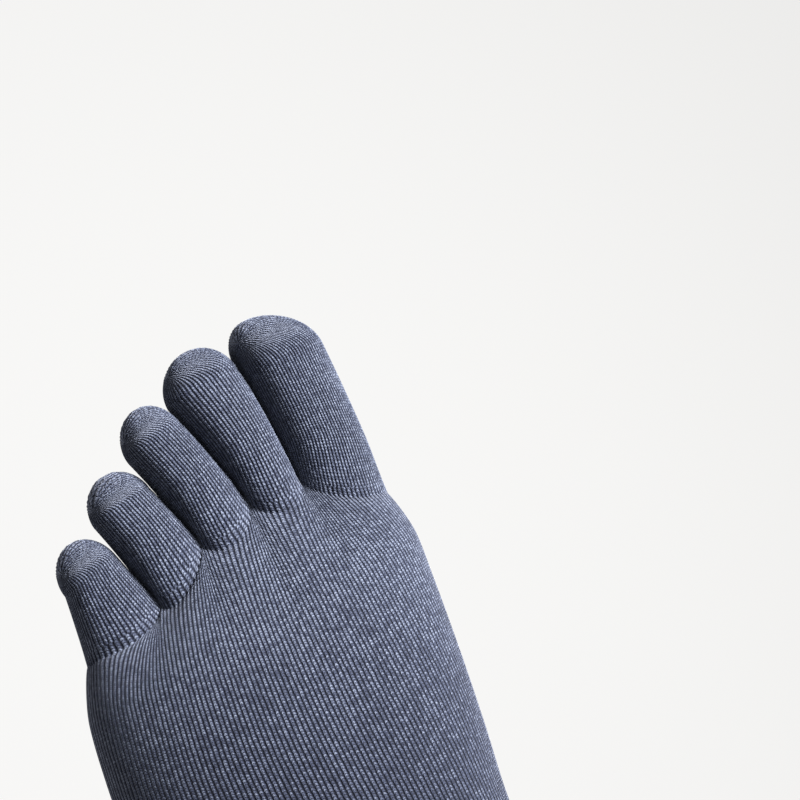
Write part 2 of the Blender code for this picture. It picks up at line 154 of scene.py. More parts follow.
# Shares: y of ANKLE_DEPTH, z between the ankle's front and the cuff's base, sideways of ANKLE_WIDTH
LEG_SECTIONS = (
    Section(0.992, 0.280, 0.080, -0.780, 0.522, 0.442, 0.00, 0.00, 0.50),
    Section(1.000, 0.640, 0.120, -0.060, 0.507, 0.420, 0.00, 0.00, 0.50),
    Section(1.010, 1.000, 0.125, 0.740, 0.507, 0.413, 0.00, 0.00, 0.50),
)
# Shares: y of ANKLE_DEPTH, z of CUFF_HEIGHT above the cuff's base, sideways of ANKLE_WIDTH
CUFF_SECTIONS = (Section(1.020, 1.000, 0.115, 1.000, 0.514, 0.420, 0.00, 0.00, 0.50),)

SQUARENESS = 2.25  # 2 is an ellipse, more is squarer
TOE_SQUARENESS = 2.4  # the same for the toes, which press on each other
CURVE_STEPS = 720  # points in which a section is measured
WELD = 1e-6  # points this close are one point
TINY = 1e-12  # keeps a normal of no length from being divided by 0
CAP_BEND = 0.6  # how far the stitches run straight over the tip, as a share of the closure's rise
TIP_DROP = 0.10  # how far a toe's tip hangs below its axis, as a share of its thickness

# The body's rings are counted in stations: one for each section, from the toes' roots to the opening
HEEL_STATION = len(FOOT_SECTIONS) - 1
LEG_STATION = HEEL_STATION + len(HEEL_SECTIONS)
CUFF_STATION = LEG_STATION + len(LEG_SECTIONS)
TOP_STATION = CUFF_STATION + len(CUFF_SECTIONS)
BODY_COLUMNS = 2 * sum(toe.top for toe in TOES) + TOES[0].inner + TOES[-1].outer
TOP_COLUMNS = sum(toe.top for toe in TOES)

# Knit
KNIT_MAP = "knit"
WALES = 4  # wales in one column of the solids, on the foot, heel and leg
TOE_WALES = 5  # the toes are knitted finer
NARROWEST = 0.00058  # wales narrower than this are knitted together, two and two, toward a toe's closure
MOST_HALVINGS = 3
COURSE = 0.00072  # height of one stitch
FULL_PITCH = 0.0010  # wales at least this wide have their full relief
# Relief of the ribs in metres, along the body's stations and along a toe from its root
BODY_RELIEF = (
    (0.0, 0.00012), (0.5, 0.00007), (1.5, 0.00007),
    (3.5, 0.00012), (6.0, 0.00015), (16.0, 0.00015),
)
TOE_RELIEF = ((0.0, 0.00010), (0.003, 0.00012), (0.010, 0.00018), (0.060, 0.00018))
CUFF_RELIEF = 0.00045
CUFF_RIB_WALES = 2
# Shares of the cuff's height over which its ribs rise and run out, and the share of the ribs that is
# lost there
CUFF_RIB_START = 0.12
CUFF_RIB_END = 0.10
CUFF_RIB_LOSS = 0.6
CREASE_DEPTH = 0.00016  # of the line where the toe pockets are knitted on
CREASE_WIDTH = 0.0018
# Knot of stitches that closes each toe: its reach, the height, spacing and waves of its rings, and its
# bumps round the closure, how uneven they are and how far they twist
KNOT_REACH = 0.0052
KNOT_HEIGHT = 0.00030
KNOT_PITCH = 0.00135
KNOT_WAVE = 0.8
KNOT_BUMPS = 9
KNOT_UNEVEN = 0.35
KNOT_TWIST = 9
# Folded upper edge of the welt: faces across it, its rise as a share of the wall, the height of the band
# that it lies in, and the courses that it takes on the knit's map
FOLD_STEPS = 5
FOLD_RISE = 0.35
FOLD_BAND = 0.004
FOLD_COURSES = 0.5

# Fineness: points across a wale, steps for measuring lengths, and rows of faces
BODY_SAMPLES = 4
TOE_SAMPLES = 5
LENGTH_STEPS = 320
TOE_LENGTH_STEPS = 12
TOE_ROW_DENSITY = 36  # rows in TOE_LENGTH, past the least number
LEAST_TOE_ROWS = 8
DOME_ROWS = 26
INNER_TOE_ROWS = 6
INNER_DOME_ROWS = 5
ROOT_ROWS = 20
BODY_ROWS = 62
STUB_ROWS = 5  # on the start of each toe, which is knitted with the foot
INNER_ROOT_ROWS = 5
INNER_BODY_ROWS = 13
INNER_STUB_ROWS = 2
FOOT_GHOST = 0.08  # stations from the foot's last row to the row that only serves its shading

# Yarn, from the gaps between the stitches to the light fibres on top: tone and linear colour. The dark gap
# colours are painted shade, and the light end is the yarn's light fibres with painted highlight on the
# stitches' tops. All the colours are darker than the yarn's own, as painted shade over the whole sock that
# keeps its sides dark under the pale floor's light from below.
YARN_WITH_PAINTED_SHADING = (
    (0.0, (0.003, 0.004, 0.009)),
    (0.30, (0.0100, 0.0125, 0.0250)),
    (0.62, (0.034, 0.041, 0.069)),
    (1.0, (0.150, 0.170, 0.225)),
)
# rib_from: distance from a wale's ridge, in wales, at which its side begins to fall. course_gap: how
# deep the gap between two courses is, in the bump and as painted shade. grain: how much the tone varies.
Knit = namedtuple("Knit", "rib_from course_gap grain")
TOE_KNIT = Knit(0.14, 0.50, 0.42)
FOOT_KNIT = Knit(0.16, 0.58, 0.42)
HEEL_KNIT = Knit(0.12, 0.60, 0.50)
LEG_KNIT = Knit(0.12, 0.55, 0.50)
# How often in a metre the stitches wander off their rows, how far in courses, and the share of it across
# the wales
WANDER_SCALE = 420.0
WANDER = 0.55
WANDER_ACROSS = 0.45
STITCH_SLANT = 1.1  # courses that a stitch's leg climbs in one wale's width
STITCH_FLAT = 0.22  # distance from a stitch's middle, in courses, at which it begins to fall
CROSSING = 0.30  # how high the yarn that crosses from wale to wale lies in the gap between them
CROSSING_REACH = (0.08, 0.42)  # where it begins and ends to fall, in courses from its middle
# Parts of the tone: painted shading from a stitch's height (shade in its gaps, highlight on its top),
# chance from stitch to stitch, fibres and wide clouds
STITCH_PAINTED_SHADING = 0.8
UNEVEN = 0.7
FIBRE_SCALE = 2300.0
FIBRE_DETAIL = 4.0
FIBRE = 2.4
CLOUD_SCALE = 55.0
CLOUD = 0.16
# Painted shade: counted in courses behind the toes' roots, the tone darkens over the instep, where the knit
# is pulled open so more of its gaps show, and it stays that dark from there to the opening
UNSTRETCHED, STRETCHED = -25, -120
STRETCH_SHADE = 0.19
BUMP_STRENGTH = 0.9
BUMP_DISTANCE = 0.00035
FIBRE_BUMP = 0.5

Tube = namedtuple("Tube", "name node first last rows inner_rows wall knit")
TUBES = (
    Tube("heel_knit", "heel_pocket", HEEL_STATION, LEG_STATION, 84, 30, WALL, HEEL_KNIT),
    Tube("leg_knit", "leg_tube", LEG_STATION, CUFF_STATION, 46, 14, WALL, LEG_KNIT),
    Tube("cuff_knit", "cuff", CUFF_STATION, TOP_STATION, 26, 6, CUFF_WALL, LEG_KNIT),
)

# Form


def smooth(share):
    share = np.clip(share, 0, 1)
    return share * share * (3 - 2 * share)


def mix(a, b, share):
    return a + (b - a) * share


def power(value, exponent):
    return np.copysign(np.abs(value) ** exponent, value)


def sized_sections():
    """Every section in metres, from the toe roots to the opening, one row of numbers each."""
    tables = (
        (FOOT_SECTIONS, (ANKLE_DEPTH, FORE_LENGTH), (0, INSTEP_HEIGHT), (0, INSTEP_HEIGHT), BALL_WIDTH),
        (HEEL_SECTIONS, (0, ANKLE_DEPTH), (INSTEP_HEIGHT, ANKLE_RISE), (0, ANKLE_HEIGHT), ANKLE_WIDTH),
        (LEG_SECTIONS, (0, ANKLE_DEPTH), (ANKLE_HEIGHT, LEG_RISE), (ANKLE_HEIGHT, LEG_RISE), ANKLE_WIDTH),
        (CUFF_SECTIONS, (0, ANKLE_DEPTH), (CUFF_BASE, CUFF_HEIGHT), (CUFF_BASE, CUFF_HEIGHT), ANKLE_WIDTH),
    )
    rows = []
    for table, along, top, bottom, width in tables:
        for s in table:
            rows.append(s._replace(
                top_y=along[0] + s.top_y * along[1], top_z=top[0] + s.top_z * top[1],
                bottom_y=along[0] + s.bottom_y * along[1], bottom_z=bottom[0] + s.bottom_z * bottom[1],
                medial=s.medial * width, lateral=s.lateral * width))
    return np.array(rows)


SECTIONS = sized_sections()
OPENING = np.array((
    (Section(*SECTIONS[-1]).medial - Section(*SECTIONS[-1]).lateral) / 2,
    (Section(*SECTIONS[-1]).top_y + Section(*SECTIONS[-1]).bottom_y) / 2,
    CUFF_TOP,
))


def section_at(station):
    last = len(SECTIONS) - 1
    low = min(max(int(math.floor(station)), 0), last - 1)
    t = station - low
    p0, p1, p2, p3 = (SECTIONS[min(max(low + i, 0), last)] for i in (-1, 0, 1, 2))
    pull = (2 * p0 - 5 * p1 + 4 * p2 - p3) * t * t + (3 * p1 - p0 - 3 * p2 + p3) * t * t * t
    return Section(*(p1 + 0.5 * ((p2 - p0) * t + pull)))


def section_curve(section):
    angle = np.linspace(0, 2 * math.pi, CURVE_STEPS + 1)
    across = power(np.cos(angle), 2 / SQUARENESS)
    rise = power(np.sin(angle), 2 / SQUARENESS)
    x = across * np.where(across > 0, section.medial, section.lateral)
    x += section.crown * np.maximum(rise, 0) * (section.medial + section.lateral) / 2
    height = section.waist + rise * np.where(rise > 0, 1 - section.waist, section.waist)
    y = mix(section.bottom_y, section.top_y, height) + section.slant * x
    return np.stack((x, y, mix(section.bottom_z, section.top_z, height)), axis=1)


def section_columns(section, columns):
    """The section's points at the given columns, evenly spaced over its upper and its lower half."""
    half = CURVE_STEPS // 2
    curve = section_curve(section)
    first = -TOES[0].inner / 2
    turn = TOP_COLUMNS + TOES[-1].outer / 2
    column = (columns - first) % BODY_COLUMNS + first
    found = np.empty((len(column), 3))
    upper = column <= turn
    for points, start, end, mask in (
        (curve[:half + 1], first, turn, upper),
        (curve[half:], turn, BODY_COLUMNS + first, ~upper),
    ):
        run = np.concatenate(([0], np.cumsum(np.linalg.norm(np.diff(points, axis=0), axis=1))))
        target = run[-1] * (column[mask] - start) / (end - start)
        for axis in range(3):
            found[mask, axis] = np.interp(target, run, points[:, axis])
    return found


def toe_columns(toe):
    return 2 * toe.top + toe.outer + toe.inner


def mean_reach(toe):
    """Mean length of the toe's two sides, from its root to its dome."""
    return (toe.inner_reach + toe.outer_reach) / 2 * TOE_LENGTH


def groove_point(groove, length):
    across = groove.across * BALL_WIDTH + groove.lean * length
    return np.array((across, ANKLE_DEPTH + groove.ahead * FORE_LENGTH + length, 0.0))


def toe_sides(index, share):
    toe = TOES[index]
    inner_length = share * toe.inner_reach * TOE_LENGTH
    outer_length = share * toe.outer_reach * TOE_LENGTH
    inner = groove_point(GROOVES[index], inner_length)
    outer = groove_point(GROOVES[index + 1], outer_length)
    apart = (inner - outer) / np.linalg.norm(inner - outer) * TOE_GAP / 2
    inner = inner - apart * smooth(inner_length / TOE_SEAM_AT) * (index > 0)
    outer = outer + apart * smooth(outer_length / TOE_SEAM_AT) * (index < len(TOES) - 1)
    return inner, outer


def through(root, knuckle, tip, share):
    return root + (4 * knuckle - 3 * root - tip) * share + (2 * root + 2 * tip - 4 * knuckle) * share * share


def root_shape(index, column):
    """Where the columns cross the toe's root: sideways share (1 inner, -1 outer) and height in metres."""
    toe = TOES[index]
    middle = toe.root_z * TOE_HEIGHT
    half = toe.root_half * TOE_HEIGHT
    inner, outer = GROOVES[index], GROOVES[index + 1]
    inner_free, outer_free = index == 0, index == len(TOES) - 1
    step = 2 * math.pi / toe_columns(toe)
    start = toe.inner / 2 * step if inner_free else 0.0
    end = math.pi - (toe.outer / 2 * step if outer_free else 0.0)
    across = np.empty(len(column))
    height = np.empty(len(column))
    below = toe.top + toe.outer
    over = column <= toe.top
    under = (column >= below) & (column <= below + toe.top)
    for mask, sign, share in ((over, 1, column / toe.top), (under, -1, 1 - (column - below) / toe.top)):
        share = share[mask]
        angle = mix(start, end, share)
        webs = [g.middle * TOE_HEIGHT + sign * g.half * TOE_HEIGHT - middle for g in (inner, outer)]
        base = mix(0 if inner_free else webs[0], 0 if outer_free else webs[1], share)
        across[mask] = np.cos(angle)
        height[mask] = middle + base + (sign * half - base) * np.sin(angle)
    outside = (column > toe.top) & (column < below)
    inside = column > below + toe.top
    outer_share = (column - toe.top) / toe.outer
    inner_share = 1 - (column - below - toe.top) / toe.inner
    for mask, share, groove, free, side, a, b in (
        (outside, outer_share, outer, outer_free, -1, end, 2 * math.pi - end),
        (inside, inner_share, inner, inner_free, 1, start, -start),
    ):
        share = share[mask]
        angle = mix(a, b, share)
        across[mask] = np.cos(angle) if free else side
        web = (groove.middle + groove.half * (1 - 2 * share)) * TOE_HEIGHT
        height[mask] = middle + half * np.sin(angle) if free else web
    return across, height


def fuller(across, up):
    """How far a toe's surface stands out past an ellipse in this direction."""
    reach = np.maximum(np.hypot(across, up), TINY)
    across, up = np.abs(across) / reach, np.abs(up) / reach
    return (across ** TOE_SQUARENESS + up ** TOE_SQUARENESS) ** (-1 / TOE_SQUARENESS)


def toe_row(index, share, column):
    """A ring of a toe: share 0 is its root, 1 the start of its dome and 2 the closure of its stitches."""
    toe = TOES[index]
    column = column % toe_columns(toe)
    angle = (column + toe.inner / 2) * 2 * math.pi / toe_columns(toe)
    along = min(share, 1)
    inner, outer = toe_sides(index, along)
    side = (inner - outer) / 2
    middle = (inner + outer) / 2
    middle[2] = through(toe.root_z, toe.knuckle_z, toe.tip_z, along) * TOE_HEIGHT
    rise = np.array((0, 0, through(toe.root_half, toe.knuckle_half, toe.tip_half, along) * TOE_HEIGHT))
    cos, sin = np.cos(angle)[:, None], np.sin(angle)[:, None]
    if share <= 1:
        around = middle + (side * cos + rise * sin) * fuller(cos, sin)
        across, height = root_shape(index, column)
        root = middle + side * across[:, None]
        root[:, 2] += height - toe.root_z * TOE_HEIGHT
        over = column < toe.top
        root[over, 1] -= np.sin(math.pi * column[over] / toe.top) * toe.crease * TOE_LENGTH
        return mix(root, around, smooth(share * mean_reach(toe) / ROOT_FADE))
    ahead = np.array((-side[1], side[0], 0))
    ahead = ahead / np.linalg.norm(ahead) * toe.dome * TOE_LENGTH
    edge = np.stack((np.cos(angle), np.zeros(len(angle)), np.sin(angle)), axis=1)
    turn, lift = math.radians(toe.turn), math.radians(toe.lift)
    closure = np.array((-math.sin(turn) * math.cos(lift), math.cos(turn) * math.cos(lift), math.sin(lift)))
    straight = CAP_BEND * math.asin(closure[1])
    bend = edge * math.cos(straight) + np.array((0, math.sin(straight), 0))
    t = share - 1
    way = edge * (1 - t) ** 2 + bend * 2 * t * (1 - t) + closure * t * t
    way /= np.linalg.norm(way, axis=1)[:, None]
    tip = way[:, 1:2] ** 2
    full = fuller(way[:, 0:1], way[:, 2:3])
    return (middle + (side * way[:, 0:1] + rise * way[:, 2:3]) * full + ahead * way[:, 1:2]
            - rise * TIP_DROP * tip - side * toe.sweep * tip)


def root_row(columns):
    """The foot's first ring, where all five toes begin."""
    found = np.empty((len(columns), 3))
    runs = [(index, toe.top, 0) for index, toe in enumerate(TOES)]
    runs.append((len(TOES) - 1, TOES[-1].outer, TOES[-1].top))
    for index, toe in reversed(list(enumerate(TOES))):
        runs.append((index, toe.top, toe.top + toe.outer))
    runs.append((0, TOES[0].inner, 2 * TOES[0].top + TOES[0].outer))
    start = 0
    for index, width, offset in runs:
        mask = (columns >= start) & (columns < start + width)
        found[mask] = toe_row(index, 0, columns[mask] - start + offset)
        start += width
    return found


def body_row(station, columns):
    section = section_at(station)
    row = section_columns(section, columns)
    fade = smooth((SECTIONS[0][0] - section.top_y) / ROOT_FADE)
    if fade < 1:
        row = mix(root_row(columns), row, fade)
    return row


# Knitting: grids of points on the form become meshes

# A grid's points and relief are rows of points round the sock. u counts wales along a row and v counts
# courses, one for each row. ghosts are the strips of quads that only serve the shading of their
# neighbours, and merged is the share of its wales that each row still has.
Grid = namedtuple("Grid", "points u v relief ghosts merged")


def body_lengths():
    """Stations and the mean length of the knit from the toes' roots to each of them."""
    stations = np.linspace(0, TOP_STATION, LENGTH_STEPS + 1)
    columns = np.arange(BODY_COLUMNS, dtype=float)
    rows = np.array([body_row(station, columns) for station in stations])
    steps = np.linalg.norm(np.diff(rows, axis=0), axis=2).mean(axis=1)
    return stations, np.concatenate(([0], np.cumsum(steps)))


LENGTH_STATIONS, LENGTHS = body_lengths()


def rib(u):
    """Height share across a wale: 0 in the gap between two wales and 1 on the ridge."""
    return 0.5 - 0.5 * np.cos(2 * math.pi * u)


def wale_widths(points, samples):
    return np.linalg.norm(np.roll(points, -1, axis=1) - points, axis=2) * samples


def seam_crease(length, u):
    """The fine line that runs round the place where a toe pocket is knitted on."""
    return CREASE_DEPTH * np.exp(-(length / CREASE_WIDTH) ** 2)[:, None] * rib(u + 0.5)[None, :]


def body_grid(stations, samples, ghosts, cuff=False):
    columns = np.arange(BODY_COLUMNS * WALES * samples) / (WALES * samples)
    points = np.array([body_row(station, columns) for station in stations])
    length = np.interp(stations, LENGTH_STATIONS, LENGTHS)
    u = columns * WALES
    if cuff:
        relief = cuff_relief(stations, u)
    else:
        depth = np.interp(stations, *zip(*BODY_RELIEF))
        relief = rib(u)[None, :] * depth[:, None] * np.clip(wale_widths(points, samples) / FULL_PITCH, 0, 1)
    return Grid(points, u, -length / COURSE, relief - seam_crease(length, u), ghosts, np.ones(len(stations)))


def cuff_relief(stations, u):
    """Wide ribs that begin at the leg's fine ribs and run out under the folded edge."""
    share = (stations - CUFF_STATION)[:, None]
    fine = rib(u)[None, :] * BODY_RELIEF[-1][1]
    wide = rib((u + 0.5) / CUFF_RIB_WALES)[None, :] * CUFF_RELIEF
    end = smooth((share - 1 + CUFF_RIB_END) / CUFF_RIB_END)
    return mix(fine, wide, smooth(share / CUFF_RIB_START)) * (1 - CUFF_RIB_LOSS * end)


def toe_lengths(index, shares):
    columns = np.arange(toe_columns(TOES[index]), dtype=float)
    rows = np.array([toe_row(index, share, columns) for share in shares])
    steps = np.linalg.norm(np.diff(rows, axis=0), axis=2).mean(axis=1)
    return np.concatenate(([0], np.cumsum(steps)))


def merged_wales(widths, count):
    """The share of its wales that each row still has, as they are halved where they get narrow."""
    width = np.maximum(widths.mean(axis=1), NARROWEST / 2 ** MOST_HALVINGS)
    halvings = np.clip(np.floor(np.log2(NARROWEST / width)) + 1, 0, MOST_HALVINGS)
    return np.round(count / 2 ** halvings) / count


def closure_knot(points, columns, count):
    """Relief of the puckered rings round the point where a toe's stitches close."""
    away = np.linalg.norm(points - points[-1, 0], axis=2)
    turn = 2 * math.pi * columns / count
    rings = 0.5 + 0.5 * np.cos(2 * math.pi * away / KNOT_PITCH + KNOT_WAVE * np.sin(2 * turn))
    bumps = 1 - KNOT_UNEVEN + KNOT_UNEVEN * np.cos(KNOT_BUMPS * turn + KNOT_TWIST * away / KNOT_REACH)
    return KNOT_HEIGHT * rings * bumps * (1 - smooth(away / KNOT_REACH))


def toe_grid(index, shares, samples, ghosts, wales=WALES):
    count = toe_columns(TOES[index]) * wales
    columns = np.arange(count * samples) / (wales * samples)
    points = np.array([toe_row(index, share, columns) for share in shares])
    widths = wale_widths(points, samples)
    merged = merged_wales(widths, count)
    length = toe_lengths(index, np.linspace(0, shares[0], TOE_LENGTH_STEPS))[-1] + toe_lengths(index, shares)
    u = columns * wales
    depth = np.interp(length, *zip(*TOE_RELIEF))
    relief = rib(merged[:, None] * u) * depth[:, None] * np.clip(widths / merged[:, None] / FULL_PITCH, 0, 1)
    relief -= seam_crease(length, u)
    if shares[-1] == 2:
        relief += closure_knot(points, columns, toe_columns(TOES[index]))
    return Grid(points, u, length / COURSE, relief, ghosts, merged)


def grid_quads(grid, flip):
    """The grid's quads, their places on the knit's map, and which of them are more than shading."""
    rows, columns = grid.relief.shape
    index = np.arange(rows * columns).reshape(rows, columns)
    after = np.roll(index, -1, axis=1)
    quads = np.stack((index[:-1], after[:-1], after[1:], index[1:]), axis=-1)
    step = grid.u[1] - grid.u[0]
    low, high = grid.v[:-1], grid.v[1:]
    uvs = np.empty((rows - 1, columns, 4, 2))
    across = np.stack((grid.u, grid.u + step, grid.u + step, grid.u), axis=-1)
    uvs[..., 0] = across * grid.merged[1:, None, None]
    uvs[..., 1] = np.stack((low, low, high, high), axis=-1)[:, None]
    if flip:
        quads, uvs = quads[..., ::-1], uvs[..., ::-1, :]
    shown = np.repeat([row not in grid.ghosts for row in range(rows - 1)], columns)
    return quads.reshape(-1, 4), uvs.reshape(-1, 4, 2), shown


def vertex_normals(points, faces):
    corners = points[faces]
    cross = np.cross(corners[:, 2] - corners[:, 0], corners[:, 3] - corners[:, 1])
    normals = np.zeros_like(points)
    for corner in range(4):
        for axis in range(3):
            normals[:, axis] += np.bincount(faces[:, corner], weights=cross[:, axis], minlength=len(points))
    return normals / np.maximum(np.linalg.norm(normals, axis=1), TINY)[:, None]


def outer_face(grids):
    """The welded grids: points on the form, ribbed points, the normals of both, faces and their map."""
    points = np.concatenate([grid.points.reshape(-1, 3) for grid, flip in grids])
    relief = np.concatenate([grid.relief.reshape(-1) for grid, flip in grids])
    faces, uvs, shown = [], [], []
    base = 0
    for grid, flip in grids:
        grid_faces, grid_uvs, grid_shown = grid_quads(grid, flip)
        faces.append(grid_faces + base)
        uvs.append(grid_uvs)
        shown.append(grid_shown)
        base += grid.relief.size
    faces, uvs, shown = (np.concatenate(parts) for parts in (faces, uvs, shown))
    places = np.round(points / WELD).astype(np.int64)
    _, first, welded = np.unique(places, axis=0, return_index=True, return_inverse=True)
    points, relief, faces = points[first], relief[first], welded.reshape(-1)[faces]
    normals = vertex_normals(points, faces)
    ribbed = points + normals * relief[:, None]
    return points, ribbed, normals, vertex_normals(ribbed, faces), faces[shown], uvs[shown]


def inner_face(grids, wall):
    """The plain inside of the knit, one wall in from the form."""
    points, faces, uvs, shading = [], [], [], []
    base = 0
    for grid, flip in grids:
        flat = grid.points.reshape(-1, 3)
        quads, quad_uvs, shown = grid_quads(grid, flip)
        normals = vertex_normals(flat, quads)
        points.append(flat - normals * wall)
        shading.append(-normals)
        faces.append(quads[shown][:, ::-1] + base)
        uvs.append(quad_uvs[shown][:, ::-1])
        base += len(flat)
    return tuple(np.concatenate(parts) for parts in (points, faces, uvs, shading))


def open_edges(faces):
    """Every edge that only one face has, with that face's number and the edge's place in it."""
    edges = {}
    for number in range(4):
        starts, ends = faces[:, number].tolist(), faces[:, (number + 1) % 4].tolist()
        for face, (start, end) in enumerate(zip(starts, ends)):
            if (end, start) in edges:
                del edges[(end, start)]
            elif start != end:
                edges[(start, end)] = (face, number)
    return edges


def edge_lip(points, ribbed, normals, faces, uvs, wall, welt):
    """Closes every open edge of the outer face toward the inside. The welt's upper edge is a round fold."""
    edges = open_edges(faces)
    rim = np.array(sorted({vertex for edge in edges for vertex in edge}))
    place = {vertex: number for number, vertex in enumerate(rim.tolist())}
    steps = FOLD_STEPS if welt else 1
    up = np.array((0, 0, 1.0))
    folded = (ribbed[rim, 2:3] > CUFF_TOP - FOLD_BAND) * welt
    rings, shading = [], []
    for share in np.arange(1, steps + 1) / steps:
        rise = math.sin(math.pi * share) * wall * FOLD_RISE * folded
        rings.append(mix(ribbed[rim], points[rim] - normals[rim] * wall, share) + up * rise)
        turned = normals[rim] * math.cos(math.pi * share) + up * math.sin(math.pi * share)
        shading.append(turned if welt else -normals[rim])
    lip_faces, lip_uvs = [], []
    shift = (0, FOLD_COURSES)
    for (start, end), (face, number) in edges.items():
        uv_start, uv_end = uvs[face][number], uvs[face][(number + 1) % 4]
        for step in range(steps):
            ring = len(ribbed) + step * len(rim)
            low_start = ring - len(rim) + place[start] if step else start
            low_end = ring - len(rim) + place[end] if step else end
            lip_faces.append((low_end, low_start, ring + place[start], ring + place[end]))
            lip_uvs.append((uv_end, uv_start, uv_start + shift, uv_end + shift))
    return np.concatenate(rings), np.array(lip_faces), np.array(lip_uvs), np.concatenate(shading)


def mesh_object(name, points, faces, uvs, shading):
    """A mesh from quads, where quads with two equal corners become triangles."""
    keep = faces != np.roll(faces, -1, axis=1)
    good = keep.sum(axis=1) >= 3
    faces, uvs, keep = faces[good], uvs[good], keep[good]
    sizes = keep.sum(axis=1)
    used, corners = np.unique(faces[keep], return_inverse=True)
    mesh = bpy.data.meshes.new(name)
    mesh.vertices.add(len(used))
    mesh.vertices.foreach_set("co", points[used].astype(np.float32).ravel())
    mesh.loops.add(len(corners))
    mesh.loops.foreach_set("vertex_index", corners.reshape(-1).astype(np.int32))
    mesh.polygons.add(len(sizes))
    mesh.polygons.foreach_set("loop_start", np.concatenate(([0], np.cumsum(sizes)[:-1])).astype(np.int32))
    mesh.uv_layers.new(name=KNIT_MAP)
    mesh.uv_layers[KNIT_MAP].data.foreach_set("uv", uvs[keep].astype(np.float32).ravel())
    mesh.update(calc_edges=True)
    mesh.validate()
    mesh.polygons.foreach_set("use_smooth", np.ones(len(mesh.polygons), dtype=bool))
    mesh.normals_split_custom_set_from_vertices([Vector(normal) for normal in shading[used]])
    piece = bpy.data.objects.new(name, mesh)
    bpy.context.scene.collection.objects.link(piece)
    return piece


def knit_piece(name, node, grids, inner_grids, wall, material, welt=False):
    """One knitted section in place of its node: a ribbed outer face, a plain inner face and their edge."""
    points, ribbed, normals, shading, faces, uvs = outer_face(grids)
    lip_points, lip_faces, lip_uvs, lip_shading = edge_lip(points, ribbed, normals, faces, uvs, wall, welt)
    inner_points, inner_faces, inner_uvs, inner_shading = inner_face(inner_grids, wall)
    piece = mesh_object(
        name,
        np.concatenate((ribbed, lip_points, inner_points)) - OPENING,
        np.concatenate((faces, lip_faces, inner_faces + len(ribbed) + len(lip_points))),
        np.concatenate((uvs, lip_uvs, inner_uvs)),
        np.concatenate((shading, lip_shading, inner_shading)),
    )
    piece.data.materials.append(material)
    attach(piece, "root")
    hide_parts(node)


# Materials


class Nodes:
    """Short calls that add one or two nodes each and give their output."""

    def __init__(self, material):
        self.tree = material.node_tree

    def link(self, value, socket):
        if isinstance(value, bpy.types.NodeSocket):
            self.tree.links.new(value, socket)
        else:
            socket.default_value = value

    def math(self, operation, *values):
        node = self.tree.nodes.new("ShaderNodeMath")
        node.operation = operation
        for socket, value in zip(node.inputs, values):
            self.link(value, socket)
        return node.outputs[0]

    def centred(self, value, amount):
        """A value from 0 to 1 made to run this amount round 0."""
        return self.math("MULTIPLY", self.math("SUBTRACT", value, 0.5), amount)

    def off_middle(self, value):
        """How far a count is from the middle of its present unit, 0 to 0.5."""
        return self.math("ABSOLUTE", self.math("SUBTRACT", self.math("FRACT", value), 0.5))

    def span(self, value, low, high, to_low, to_high):
        node = self.tree.nodes.new("ShaderNodeMapRange")
        node.interpolation_type = "SMOOTHSTEP"
        for socket, entry in zip(node.inputs, (value, low, high, to_low, to_high)):
            self.link(entry, socket)
        return node.outputs[0]

    def noise(self, coordinates, scale, detail=2.0):
        node = self.tree.nodes.new("ShaderNodeTexNoise")
        self.link(coordinates, node.inputs["Vector"])
        node.inputs["Scale"].default_value = scale
        node.inputs["Detail"].default_value = detail
        return node.outputs["Fac"]

    def cell_noise(self, u, v):
        """One random value for each stitch."""
        cell = self.tree.nodes.new("ShaderNodeCombineXYZ")
        self.link(self.math("FLOOR", u), cell.inputs[0])
        self.link(self.math("FLOOR", v), cell.inputs[1])
        node = self.tree.nodes.new("ShaderNodeTexWhiteNoise")
        node.noise_dimensions = "2D"
        self.link(cell.outputs[0], node.inputs["Vector"])
        return node.outputs["Value"]

    def ramp(self, value, stops):
        node = self.tree.nodes.new("ShaderNodeValToRGB")
        self.link(value, node.inputs["Fac"])
        elements = node.color_ramp.elements
        while len(elements) < len(stops):
            elements.new(0.5)
        for element, (position, colour) in zip(elements, stops):
            element.position = position
            element.color = (*colour, 1)
        return node.outputs["Color"]


